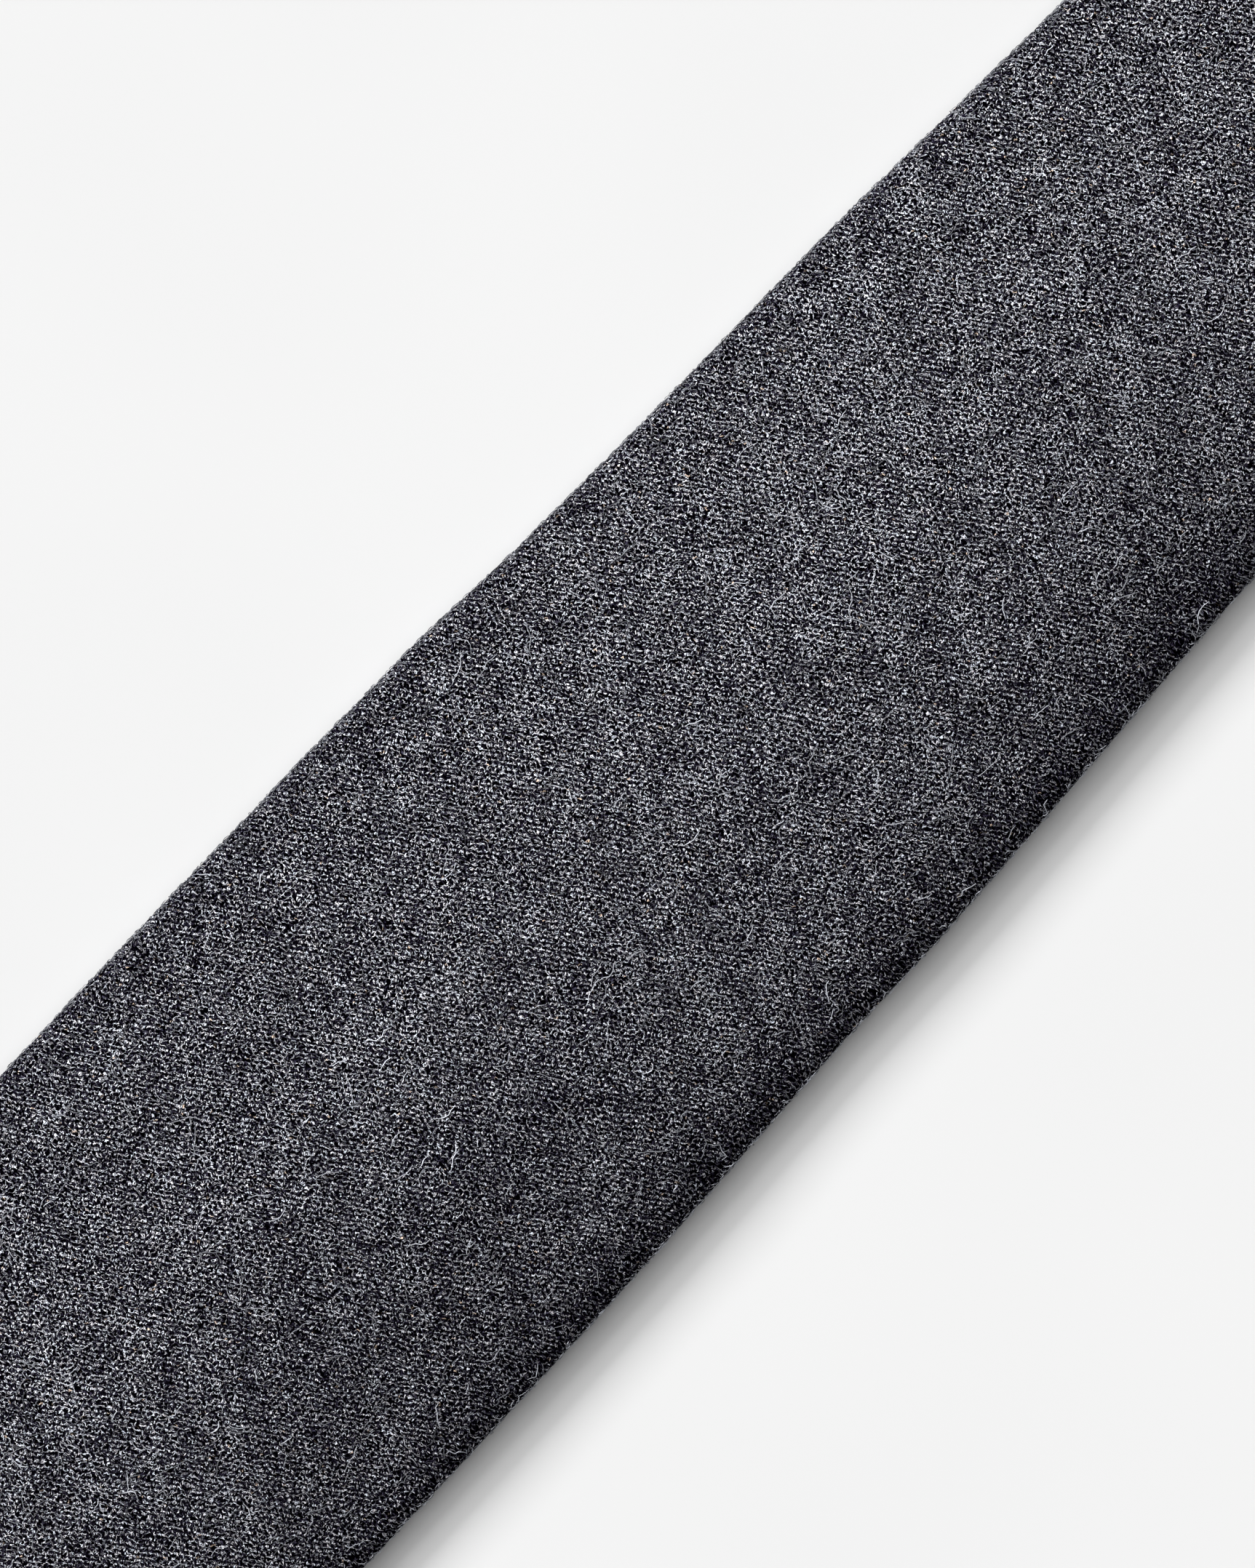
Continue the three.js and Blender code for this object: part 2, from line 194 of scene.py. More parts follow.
# %% Section at a place
def section_at(s):
    """Sizes at s, in pairs for the left and right side. An edge is tops high and rolls wide. The dome
    leaves it at the angle starts, of tangent tan(slope) * rolls / (tops / 2), and its power is
    tan(slope) * half width / fall. dome_half is the dome's half width without the crown."""
    point_half, hem = point_value(s, "half"), point_value(s, "hem")
    reach, half = reach_of(s), half_width(s)
    meet = 2 * point_half - hem
    edge = lerp(NOSE_HEIGHT, EDGE_HEIGHT, smoothstep(0, NOSE_RAMP, reach))
    slant = lerp(np.sqrt(2), 1, smoothstep(point_half - SLANT_CHANGE, point_half + SLANT_CHANGE, reach))
    crown = crown_at(s)
    roll = np.minimum(slant * edge / 2, half - SLIT_HALF - LEDGE)
    rolls = [np.minimum(roll * (1 + more * crown), half - SLIT_HALF - LEDGE) for more in CROWN["spread"]]
    tops = [edge + more * crown for more in CROWN["lift"]]
    slopes = [DOME_SLOPE + more * crown for more in CROWN["slope"]]
    starts = [np.arctan(np.tan(slopes[k]) * rolls[k] / (tops[k] / 2)) for k in (0, 1)]
    domes = [half - rolls[k] + rolls[k] * np.sin(starts[k]) for k in (0, 1)]
    folds = [tops[k] / 2 * (1 + np.cos(starts[k])) for k in (0, 1)]
    dome_half = half - roll + roll * np.sin(DOME_SLOPE)
    plain_rise = dome_half * np.tan(DOME_SLOPE) / DOME_POWER
    height = edge / 2 * (1 + np.cos(DOME_SLOPE)) + plain_rise + CROWN["height"] * crown
    inner_half = np.maximum(half - slant * FRONT_WALL, SLIT_HALF + 2 * LEDGE)
    cavity = edge - FRONT_WALL - FLAP_WALL
    return dict(
        half=half, edge=edge, roll=roll, rolls=rolls, tops=tops, starts=starts, domes=domes, folds=folds,
        height=height, flat=half - roll, dome_half=dome_half, inner_half=inner_half,
        powers=[np.tan(slopes[k]) * domes[k] / (height - folds[k]) for k in (0, 1)],
        opening=np.maximum(SLIT_HALF, point_half - hem - abs(reach - point_half)),
        valley=VALLEY["depth"] * smoothstep(meet - VALLEY["start"], meet + VALLEY["full"], reach),
        under_loop=1 - smoothstep(LOOP["flat"], LOOP["flat"] + LOOP["ramp"], abs(s - LOOP["s"])),
        inner_roll=np.minimum(slant * cavity / 2, inner_half - SLIT_HALF - LEDGE),
    )


middle = section_at(np.array([130.0]))
print("section at 130, mm: width", 2 * middle["half"].round(2), "height", middle["height"].round(2))

# %% [markdown]
# The place across is a number called way, from -3 to 3: -1 to 1 is the front, 1 to 2 a rolled edge, 2
# to 3 a flap up to its own edge. The section is drawn in x, across, and z, up, and way finds a point
# on the inside of the wall too. Unrolled, the same cloth gives its distance across. One drawn outline
# could be swept along the tie, but the fold changes all the way, and a formula gives it at every place.

# %% Points of the section
def of_side(pair, x):
    """The left one of a pair of values where x is negative, and the right one elsewhere."""
    return np.where(x < 0, pair[0], pair[1])


def front_height(c, x):
    """Height of the front: full in the middle, less a power of the share of the way out."""
    share = np.minimum(abs(x) / of_side(c["domes"], x), 1)
    return c["height"] - (c["height"] - of_side(c["folds"], x)) * share ** of_side(c["powers"], x)


def underside_height(c, q):
    """Height of the flaps' underside at share q of the flat width: the valley, or the loop's room."""
    valley = c["valley"] * (1 - smoothstep(VALLEY["floor"], VALLEY["rim"], abs(q)))
    return lerp(valley, LOOP["lift"], c["under_loop"] * (1 - smoothstep(LOOP["rim"], 1, abs(q))))


def section_point(c, way, inside=False):
    """x and z of the wall's outer or inner side at way. Front: x grows with way. Rolled edge: half an
    ellipse from the front's slope on. Flap: x shrinks back to the opening."""
    side, far = np.sign(way), abs(way)
    half, roll = (c["inner_half"], c["inner_roll"]) if inside else (c["half"], of_side(c["rolls"], way))
    flat = half - roll
    front_half = flat if inside else of_side(c["domes"], way)
    first_angle = 0 if inside else of_side(c["starts"], way)
    top = front_height(c, side * flat) - FRONT_WALL if inside else of_side(c["tops"], way)
    bottom = FLAP_WALL if inside else 0
    angle = lerp(first_angle, np.pi, np.clip(far - 1, 0, 1))
    x_front = np.minimum(far, 1) * front_half
    x_flap = lerp(flat, np.minimum(c["opening"], flat - LEDGE / 2), np.clip(far - 2, 0, 1))
    x = np.where(far <= 1, x_front, np.where(far <= 2, flat + roll * np.sin(angle), x_flap))
    z_front = front_height(c, side * x_front) - (FRONT_WALL if inside else 0)
    z_roll = (top + bottom) / 2 + (top - bottom) / 2 * np.cos(angle)
    z_flap = bottom + underside_height(c, x_flap / c["flat"])
    return side * x, np.where(far <= 1, z_front, np.where(far <= 2, z_roll, z_flap))


def unrolled(c, way):
    """Distance across the flat cloth from the middle of the front to way, in mm."""
    far, round_edge = abs(way), np.pi / 2 * c["edge"]
    front, flap = np.minimum(far, 1) * c["dome_half"], np.clip(far - 2, 0, 1) * c["flat"]
    return np.sign(way) * (front + np.clip(far - 1, 0, 1) * round_edge + flap)


print("cloth across at 130, mm:", (2 * unrolled(middle, np.array([1.0, 2.0, 3.0]))).round(1).tolist())

# %% [markdown]
# The tie then lies along a path. Seen from above the path is a straight, a half turn whose curvature
# swells and fades like a cosine wave, and a straight back. Cloth can bend flatways only, so over the
# turn the band is rolled up to 80 degrees and raised until only its outer rolled edge touches the floor.
# A Curve modifier could bend a straight tie, but a formula also keeps that edge on the floor. Adding up
# small steps gives the path, and np.interp reads it. In the photograph both edges wander together by a
# quarter of a millimetre, and a table of sideways shifts repeats that.

# %% The way the tie lies
TURN = dict(middle=840, length=440)
ROLL_ANGLE = np.radians(80)
ROLL_UP = (560, 730)
ROLL_DOWN = (950, 1120)
EDGE_WANDER = table(
    "s shift",
    (0, 0.0), (68, 0.11), (97, 0.04), (112, -0.12), (126, -0.22), (139, 0.2), (155, 0.18),
    (170, -0.04), (184, -0.25), (215, 0.15), (262, -0.2), (330, 0.18), (430, -0.15), (560, 0.0),
    (1110, 0.0), (1190, 0.2), (1260, -0.18), (1340, 0.15), (1410, -0.12), (1470, 0.0),
)


def heading_at(s):
    """Heading from +Y towards +X: half a turn times T - sin(2 pi T) / 2 pi, with T = t + 1/2 from 0 to
    1 over the turn."""
    t = np.clip((s - TURN["middle"]) / TURN["length"], -0.5, 0.5)
    return np.pi * (t + 0.5) + np.sin(2 * np.pi * t) / 2


PATH_S = np.arange(0, TIE_LENGTH + 1, 1.0)
STEP_HEADING = heading_at(PATH_S[:-1] + 0.5)
PATH_X = np.concatenate([[0], np.cumsum(np.sin(STEP_HEADING))])
PATH_Y = np.concatenate([[0], np.cumsum(np.cos(STEP_HEADING))])
SHIFT = np.array([BLADE_MIDDLE, BLADE_TIP_Y, 0.0]) / MM


def place(s, x, z):
    """Carries x and z of the section at s onto the path: shifted, turned by the roll angle, raised so
    that the outer edge's centre keeps its height, then turned by the heading. Past its ends the path
    goes straight on."""
    heading, radius = heading_at(s), EDGE_HEIGHT / 2
    x = x + np.interp(s, EDGE_WANDER["s"], EDGE_WANDER["shift"])
    angle = ROLL_ANGLE * smoothstep(*ROLL_UP, s) * (1 - smoothstep(*ROLL_DOWN, s))
    inward = x * np.cos(angle) - (z - radius) * np.sin(angle)
    height = radius + (x + half_width(s) - radius) * np.sin(angle) + (z - radius) * np.cos(angle)
    past = s - np.clip(s, 0, TIE_LENGTH)
    px = np.interp(s, PATH_S, PATH_X) + past * np.sin(heading)
    py = np.interp(s, PATH_S, PATH_Y) + past * np.cos(heading)
    points = np.stack(
        [px + inward * np.cos(heading), py - inward * np.sin(heading), height + 0 * s], axis=-1
    )
    return (points + SHIFT) * MM


print("tail's point, mm:", (place(np.array([1470.0]), 0.0, 0.0) / MM).round(1).tolist())

# %% [markdown]
# The front also has low swellings, where the layers underneath are thicker, which show as broad soft
# changes of light. They could be sculpted by hand, but a sum of shallow waves is as soft and takes a few
# numbers. It fades out over the rolled edges.

# %% Swellings of the front
SWELLINGS = 12
SWELLING_HEIGHT = 0.055
SWELLING_RANGE = (0.08, 0.42)
SWELLING_FADE = (0.8, 1.15)
swelling_draw = np.random.default_rng(7)
SWELLING_WAVES = swelling_draw.uniform(*SWELLING_RANGE, SWELLINGS)
SWELLING_TURNS = swelling_draw.uniform(0, np.pi, SWELLINGS)
SWELLING_PHASES = swelling_draw.uniform(0, 2 * np.pi, SWELLINGS)


def swelling(s, v):
    """Sum of twelve shallow plane waves over the flat cloth, 15 to 80 mm long, each its own way."""
    total = 0
    for wave, turn, phase in zip(SWELLING_WAVES, SWELLING_TURNS, SWELLING_PHASES):
        total = total + np.sin(wave * (s * np.cos(turn) + v * np.sin(turn)) + phase)
    return SWELLING_HEIGHT * total


def cloth_section(s, way, inside=False):
    """x and z of the section at s and way, with the swellings added over the front."""
    c = section_at(s)
    x, z = section_point(c, way, inside)
    on_front = 1 - smoothstep(*SWELLING_FADE, abs(way))
    return x, z + on_front * swelling(s, unrolled(c, way))


heights = swelling(*np.meshgrid(np.arange(30, 260.0), np.arange(-28, 28.0)))
print("swellings, mm:", heights.min().round(2), "to", heights.max().round(2))

# %% [markdown]
# A mesh is arrays of points and of corner numbers. They could be added one by one, but foreach_set hands
# them over whole, which is far quicker. The cloth is cut on the bias, so a map in millimetres along its
# two yarn directions lets the weave follow the cloth round every fold. Where the signed volume shows
# that faces point in, their corners are turned round.

# %% Mesh from arrays
FABRIC_TURN = TIE_SLANT


def fabric_map(s, v):
    """Places along the two yarn directions: s and the place across v, turned by the bias."""
    along_weft = s * np.cos(FABRIC_TURN) + v * np.sin(FABRIC_TURN)
    along_warp = s * np.sin(FABRIC_TURN) - v * np.cos(FABRIC_TURN)
    return np.stack([along_weft, along_warp], axis=-1)


def mesh_of(name, points, corner_lists, uv):
    """A mesh from points, arrays of faces with equal corner counts, and a map place for each point."""
    corners = np.concatenate([faces.reshape(-1) for faces in corner_lists])
    counts = np.concatenate([np.full(len(faces), faces.shape[1]) for faces in corner_lists])
    starts = np.concatenate([[0], np.cumsum(counts)[:-1]])
    mesh = bpy.data.meshes.new(name)
    mesh.vertices.add(len(points))
    mesh.vertices.foreach_set("co", points.astype(np.float32).reshape(-1))
    mesh.loops.add(len(corners))
    mesh.loops.foreach_set("vertex_index", corners.astype(np.int32))
    mesh.polygons.add(len(counts))
    mesh.polygons.foreach_set("loop_start", starts.astype(np.int32))
    mesh.update(calc_edges=True)
    mesh.polygons.foreach_set("use_smooth", np.ones(len(counts), bool))
    layer = mesh.uv_layers.new(name="fabric")
    layer.data.foreach_set("uv", uv[corners].astype(np.float32).reshape(-1))
    mesh.validate()
    return mesh


def signed_volume(points, corner_lists):
    """Sum over all faces, cut into triangles from their first corner, of a . (b x c) / 6."""
    total = 0
    for faces in corner_lists:
        for k in range(1, faces.shape[1] - 1):
            a, b, c = (points[faces[:, i]] for i in (0, k, k + 1))
            total += np.einsum("ij,ij->i", a, np.cross(b, c)).sum() / 6
    return total


def piece_from(name, points, corner_lists, uv, crease=50, nap=None):
    """An object at the origin whose faces point out. Edges sharper than crease degrees stay sharp."""
    if signed_volume(points - points.mean(0), corner_lists) < 0:
        corner_lists = [faces[:, ::-1] for faces in corner_lists]
    mesh = mesh_of(name, points, corner_lists, uv)
    mesh.set_sharp_from_angle(angle=np.radians(crease))
    # Each point stores its painted shade, which darkens the wool's colour.
    if nap is not None:
        stored = mesh.attributes.new("nap", "FLOAT", "POINT")
        stored.data.foreach_set("value", nap.astype(np.float32))
    piece = linked(name, mesh)
    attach(piece, "root")
    return piece


print("map of the place 100 mm along, mm:", fabric_map(np.array(100.0), 0.0).round(1).tolist())

# %% [markdown]
# Every layer of cloth is a closed wall between two skins, each a grid of points. A Solidify modifier
# could thicken one skin, but would cross itself where the points close. With two, the unseen inner one
# can be coarser, so a face at an end has several steps on its outer side for one inside.

# %% Wall between two skins
def grid_faces(grid):
    """The four corners of every cell of a grid of point numbers."""
    return np.stack([grid[:-1, :-1], grid[1:, :-1], grid[1:, 1:], grid[:-1, 1:]], -1).reshape(-1, 4)


def side_faces(a, b):
    """Faces between two rows of point numbers of the same length."""
    return np.stack([a[:-1], a[1:], b[1:], b[:-1]], -1)


def end_faces(a, b, ratio):
    """Faces between a fine row a and a row b with one step for every ratio steps of a."""
    steps = [a[k : len(a) - ratio + k : ratio] for k in range(ratio)] + [a[ratio::ratio]]
    return np.stack(steps + [b[1:], b[:-1]], -1)


def wall(name, outer, inner):
    """Closed wall between two skins, each its points, its map and its painted shade, the share of light
    painted into the wool's colour. The grids have the same rows, and the inner one may have fewer
    columns."""
    rows, columns = outer[0].shape[:2]
    inner_columns = inner[0].shape[1]
    ratio = (columns - 1) // (inner_columns - 1)
    first = np.arange(rows * columns).reshape(rows, columns)
    second = rows * columns + np.arange(rows * inner_columns).reshape(rows, inner_columns)
    corner_lists = [
        grid_faces(first),
        grid_faces(second)[:, ::-1],
        side_faces(first[:, 0], second[:, 0])[:, ::-1],
        side_faces(first[:, -1], second[:, -1]),
        end_faces(first[0], second[0], ratio),
        end_faces(first[-1], second[-1], ratio)[:, ::-1],
    ]
    points = np.concatenate([skin[0].reshape(-1, 3) for skin in (outer, inner)])
    uv = np.concatenate([skin[1].reshape(-1, 2) for skin in (outer, inner)])
    naps = [np.broadcast_to(skin[2], skin[0].shape[:2]).reshape(-1) for skin in (outer, inner)]
    return piece_from(name, points, corner_lists, uv, nap=np.concatenate(naps))


print("corners of an end face:", end_faces(np.arange(7), np.arange(7, 10), 3)[0].tolist())

# %% [markdown]
# Shade is painted into the wool's colour. The front is painted a little darker towards its edges, and
# darkest on the rolled right edge, which turns away from the lamps. The finish could work that out from
# the slope, but a short table gives the painted share by the place across, and every point stores it.
# Four soft patches of painted shade and painted light change the share by a bell curve, and painted
# shade darkens the crease of each seam.

# %% Painted shade across the cloth
# Painted shade: the share of light painted into the wool's colour at each place across, least on the
# rolled edges.
PAINTED_SHADE_ACROSS = table(
    "way share",
    (-3.0, 0.85), (-1.8, 0.85), (-1.5, 0.4), (-1.15, 0.42), (-1.0, 0.7), (-0.85, 0.88),
    (-0.1, 0.9), (0.1, 0.9), (0.5, 0.88), (0.8, 0.84), (1.0, 0.39), (1.2, 0.32), (1.3, 0.6),
    (1.45, 1.0), (1.9, 0.85), (3.0, 0.85),
)
# Patches of painted shade and painted light: a negative share darkens the colour, a positive one
# lightens it.
PAINTED_SHADE_PATCHES = table(
    "s way length width share",
    (82, 0.45, 36, 0.36, -0.38), (82, -0.7, 36, 0.5, -0.1),
    (176, -0.7, 36, 0.6, 0.17), (186, 0.85, 30, 0.25, -0.22),
)
# Painted shade along the crease of each seam.
SEAM_SHADE = dict(depth=0.75, width=0.4)


def nap_at(s, way, from_seam):
    """Painted shade: the table's share at way, times 1 + share * e^-(distance squared) for every patch,
    and times 1 - depth * e^-(distance squared) for the seams."""
    nap = np.interp(way, PAINTED_SHADE_ACROSS["way"], PAINTED_SHADE_ACROSS["share"])
    for patch in PAINTED_SHADE_PATCHES:
        bell = ((s - patch["s"]) / patch["length"]) ** 2 + ((way - patch["way"]) / patch["width"]) ** 2
        nap = nap * (1 + patch["share"] * np.exp(-bell))
    return nap * (1 - SEAM_SHADE["depth"] * np.exp(-((from_seam / SEAM_SHADE["width"]) ** 2)))


print("nap at 130 mm:", nap_at(130, np.array([-1, -0.5, 0, 0.5, 1]), BLADE_SEAM - 130).round(2).tolist())

# %% [markdown]
# The blade, the neckband and the tail are three lengths of the same folded cloth, cut on the bias and
# joined by diagonal seams. One long tie could be cut there, but that leaves ragged faces, so the
# stations lean over into each seam instead, 45 degrees across the unrolled cloth. At a seam the cloth
# dips a little, as a pressed seam does, and at a point the fold closes roundly.

# %% Skins of a length
SEAM_LEAN = 170
SEAM_DIP = 0.35
SEAM_WIDTH = 1.6
NOSE_CLOSING = 1.1
NOSE_SHRINK = 0.97
FRONT_WAYS = np.linspace(0, 1, 31)
ROLL_WAYS = 1 + np.linspace(0, 1, 14)[1:]
FLAP_WAYS = 3 - np.array([0.9, 0.75, 0.6, 0.45, 0.32, 0.2, 0.1, 0.045, 0.018, 0.008, 0.0])
HALF_WAYS = np.concatenate([FRONT_WAYS, ROLL_WAYS, FLAP_WAYS])
OUTER_WAYS = np.concatenate([-HALF_WAYS[:0:-1], HALF_WAYS])
INNER_STEP = 3
INNER_WAYS = OUTER_WAYS[::INNER_STEP]


def lean_at(s):
    """1 in the neckband, falling smoothly to 0 at 170 mm from a seam."""
    from_seam = np.maximum(np.maximum(BLADE_SEAM - s, s - TAIL_SEAM), 0)
    return 1 - smoothstep(0, SEAM_LEAN, from_seam)


def skin_of(stations, ways, inside):
    """Points, map and painted shade of one skin. Stations lean by their unrolled place, the cloth dips
    at seams by a bell curve of the distance, and past a point the section shrinks by the root of 1 -
    0.97 t^2."""
    station, way = stations[:, None], ways[None, :]
    across = unrolled(section_at(np.clip(station, 0, TIE_LENGTH)), way)
    leaning = station + lean_at(station) * across
    s = np.clip(leaning, 0, TIE_LENGTH)
    c = section_at(s)
    x, z = cloth_section(s, way, inside)
    middle = c["edge"] / 2
    from_seam = np.minimum(abs(station - BLADE_SEAM), abs(station - TAIL_SEAM))
    dip = SEAM_DIP * np.exp(-((from_seam / SEAM_WIDTH) ** 2)) * (not inside)
    z = z - dip * np.sign(z - middle)
    x = x - dip * np.sign(x) * (abs(way) > 1) * (abs(way) < 2)
    past = (abs(leaning - s) / NOSE_CLOSING).clip(0, 1)
    closing = np.sqrt(1 - past**2 * NOSE_SHRINK)
    points = place(leaning, x * closing, middle + (z - middle) * closing)
    return points, fabric_map(leaning, unrolled(c, way)), nap_at(s, way, from_seam)


def folded_length(name, stations):
    """One length of the folded cloth through the stations."""
    return wall(name, skin_of(stations, OUTER_WAYS, False), skin_of(stations, INNER_WAYS, True))


print("points across the cloth: outer", len(OUTER_WAYS), "inner", len(INNER_WAYS))

# %% [markdown]
# The stations could be evenly spaced, but the eye rests on the wide end, the points and the seams. They
# lie close there and farther apart elsewhere, and past each point five more draw the closing nose.

# %% Blade, neckband and tail
SEAM_GAP = 0.04
NOSE = NOSE_CLOSING * np.array([1, 0.93, 0.75, 0.5, 0.25])


def spaced(*stretches):
    """Stations from stretches of (start, end, spacing), each start included once."""
    parts = [np.linspace(a, b, int(np.ceil((b - a) / step)), endpoint=False) for a, b, step in stretches]
    return np.concatenate(parts + [[stretches[-1][1]]])


blade_body = spaced(
    (0, 12, 0.8), (12, 235, 0.9), (235, 520, 2.2), (520, 684, 2.0), (684, BLADE_SEAM - SEAM_GAP, 0.5)
)
neck_stations = spaced(
    (BLADE_SEAM + SEAM_GAP, 697, 0.5), (697, 983, 1.8), (983, TAIL_SEAM - SEAM_GAP, 0.5)
)
tail_body = spaced(
    (TAIL_SEAM + SEAM_GAP, 997, 0.5), (997, 1120, 2.0), (1120, 1458, 1.6), (1458, TIE_LENGTH, 0.8)
)
blade = folded_length("blade", np.concatenate([-NOSE, blade_body]))
neckband = folded_length("neckband", neck_stations)
tail = folded_length("tail", np.concatenate([tail_body, TIE_LENGTH + NOSE[::-1]]))
print("faces:", {piece.name: len(piece.data.polygons) for piece in (blade, neckband, tail)})

# %% [markdown]
# At both points a dark facing lines the back, where the folded hems leave a gap. A flat plate could
# close it, but the real one is a thin cloth that lies on the hems and follows the seam's valley, so it
# is worked out from the flap's height.

# %% Facings
TIPPING_START = 7
TIPPING_INSET = 5
FACING = dict(rows=90, columns=61, thickness=0.7, rest=0.14, thinning=0.8, thin_power=6)
PUCKER = dict(height=0.06, along=0.9, across=9, slant=0.12)


def facing_half(c):
    """Half width of a facing: it stays back by the inset, measured square to the edge."""
    return c["half"] - TIPPING_INSET * c["roll"] / (c["edge"] / 2)


def facing(name, point, from_tail):
    """Two skins over the flaps: height of the flap's inside plus a rest gap, puckers from two sines, and
    a thickness that thins to a fifth at the sides."""
    reach = np.linspace(TIPPING_START, point["tipping"], FACING["rows"])[:, None]
    share = np.linspace(-1, 1, FACING["columns"])[None, :]
    s = TIE_LENGTH - reach if from_tail else reach
    c = section_at(s)
    x = share * facing_half(c) + 0 * reach
    bands = np.sin(share * PUCKER["across"] + reach * PUCKER["slant"]) ** 2
    pucker = PUCKER["height"] * np.sin(reach * PUCKER["along"]) * bands
    low = FLAP_WALL + FACING["rest"] + underside_height(c, x / c["flat"]) + pucker
    thick = FACING["thickness"] * (1 - FACING["thinning"] * abs(share) ** FACING["thin_power"])
    uv = fabric_map(s + 0 * x, x)
    return wall(name, (place(s, x, low), uv, 1.0), (place(s, x, low + thick), uv, 1.0))


blade_facing = facing("blade_facing", BLADE_POINT, False)
tail_facing = facing("tail_facing", TAIL_POINT, True)
print("facing faces:", len(blade_facing.data.polygons), len(tail_facing.data.polygons))

# %% [markdown]
# A strap of the tie's own cloth crosses the back of the blade and holds the tail. A bevelled box could
# stand for it, but its long edges are folded, so it is thickest along its middle and round at the edges,
# and its ends rise towards the flaps. Two skins give that in a few lines.

# %% Keeper loop
STRAP = dict(rows=29, columns=97, thickness=1.0, power=5, least=0.01, foot=0.3, foot_length=2.5)


def keeper_strap():
    """Two skins, apart by the thickness times the root of 1 - |t|^5, t from -1 to 1 across, and both
    lifted near the ends by a smooth step."""
    across = np.linspace(-1, 1, STRAP["rows"])[:, None] * LOOP["height"] / 2
    x = np.linspace(-LOOP["half"], LOOP["half"], STRAP["columns"])[None, :]
    t = abs(across / (LOOP["height"] / 2))
    dome = np.sqrt(np.clip(1 - t ** STRAP["power"], STRAP["least"], 1))
    foot = STRAP["foot"] * smoothstep(LOOP["half"] - STRAP["foot_length"], LOOP["half"], abs(x))
    lift = STRAP["thickness"] / 2 + foot
    s = LOOP["s"] + across + 0 * x
    x = x + 0 * across
    uv = fabric_map(s, x)
    half_thick = STRAP["thickness"] / 2 * dome
    high, low = place(s, x, lift + half_thick), place(s, x, lift - half_thick)
    return wall("keeper_strap", (high, uv, 1.0), (low, uv, 1.0))


keeper = keeper_strap()
print("strap faces:", len(keeper.data.polygons))

# %% [markdown]
# Threads and stray wool fibres are both thin tubes along bent lines. Bevelled curves could draw them,
# but thousands are needed, so one function makes any number as whole arrays, with few sides.

# %% Thin tubes along lines
TINY = 1e-12


def unit(vectors):
    """Vectors of length one."""
    return vectors / np.maximum(np.linalg.norm(vectors, axis=-1, keepdims=True), TINY)


def tubes(name, lines, upright, radii, sides, shade):
    """One closed tube round every line. lines is tubes by points by 3, upright a direction for each,
    radii in metres. A ring is line + radius (cos t side + sin t up), side and up square to the line."""
    count, points = lines.shape[:2]
    along = unit(np.gradient(lines, axis=1))
    side = unit(np.cross(along, upright))
    up = np.cross(side, along)
    turn = np.arange(sides) * 2 * np.pi / sides
    ring = np.cos(turn)[:, None] * side[:, :, None] + np.sin(turn)[:, None] * up[:, :, None]
    rings = lines[:, :, None] + radii[:, :, None, None] * ring
    grid = np.arange(count * points * sides).reshape(count, points, sides)
    after = np.roll(grid, -1, axis=2)
    quads = np.stack([grid[:, :-1], grid[:, 1:], after[:, 1:], after[:, :-1]], -1).reshape(-1, 4)
    ends = [grid[:, 0], grid[:, -1, ::-1]]
    share = np.linspace(0, 1, points)[None, :, None]
    uv = np.stack([shade[:, None, None] + 0 * grid, share + 0 * grid], -1).reshape(-1, 2)
    return piece_from(name, rings.reshape(-1, 3), [quads, *ends], uv, crease=80)


print("a vector made one long:", unit(np.array([3.0, 4.0, 0.0])).round(2).tolist())

# %% [markdown]
# Past each point the flaps are caught together by a bar tack: a few turns of thread side by side across
# the seam, lying in its valley, with their ends pulled up into the cloth. A small block could stand for
# it from afar, but from close up the turns show, so each is a tube.

# %% Bar tacks
TACK = dict(
    past_flaps=9, width=1.4, stitches=7, points=15, sides=8, thread=0.1, lean=0.03, shortest=0.93,
    sunk=0.3, arch=0.05, end_rise=0.35, end_power=8,
)


def tack_reach(point):
    """Distance of a tack from its point, past where the flaps meet."""
    return 2 * point["half"] - point["hem"] + TACK["past_flaps"]


def bar_tack(name, node, s_middle, seed):
    """Threads across the valley, about as long as the packed tack is wide, each a cosine's arch whose
    ends turn up by |t|^8."""
    low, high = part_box(node)
    span = (high[0] - low[0]) / MM
    draw, count = np.random.default_rng(seed), TACK["stitches"]
    along = np.linspace(-0.5, 0.5, count)[:, None] * (TACK["width"] - 2 * TACK["thread"])
    t = np.linspace(-1, 1, TACK["points"])[None, :]
    s = s_middle + along + draw.normal(0, TACK["lean"], (count, 1)) * t
    x = t * span / 2 * draw.uniform(TACK["shortest"], 1.0, (count, 1)) + 0 * s
    arch = TACK["arch"] * np.cos(np.pi * t / 2) + TACK["end_rise"] * abs(t) ** TACK["end_power"]
    lines = place(s, x, VALLEY["depth"] - TACK["sunk"] + arch + 0 * s)
    upright = np.broadcast_to(np.array([0.0, 0.0, 1.0]), lines.shape)
    radii = np.full(lines.shape[:2], TACK["thread"] * MM)
    return tubes(name, lines, upright, radii, TACK["sides"], draw.uniform(0, 1, count))


blade_tack = bar_tack("blade_tack", "blade_bar_tack", tack_reach(BLADE_POINT), 21)
tail_tack = bar_tack("tail_tack", "tail_bar_tack", TIE_LENGTH - tack_reach(TAIL_POINT), 22)
print("tacks from the points, mm:", tack_reach(BLADE_POINT), tack_reach(TAIL_POINT))

# %% [markdown]
# Brushed wool is covered with stray fibres. They lie on the cloth in loose arcs, mostly along the tie,
# and stand off the rolled edges as a short fringe. A Shrinkwrap modifier could lay them down. Here the
# cloth is read backwards, from a distance across the flat cloth to its point and normal, because that
# roots each fibre exactly.

# %% Point and normal of the cloth
NORMAL_STEP = 0.05


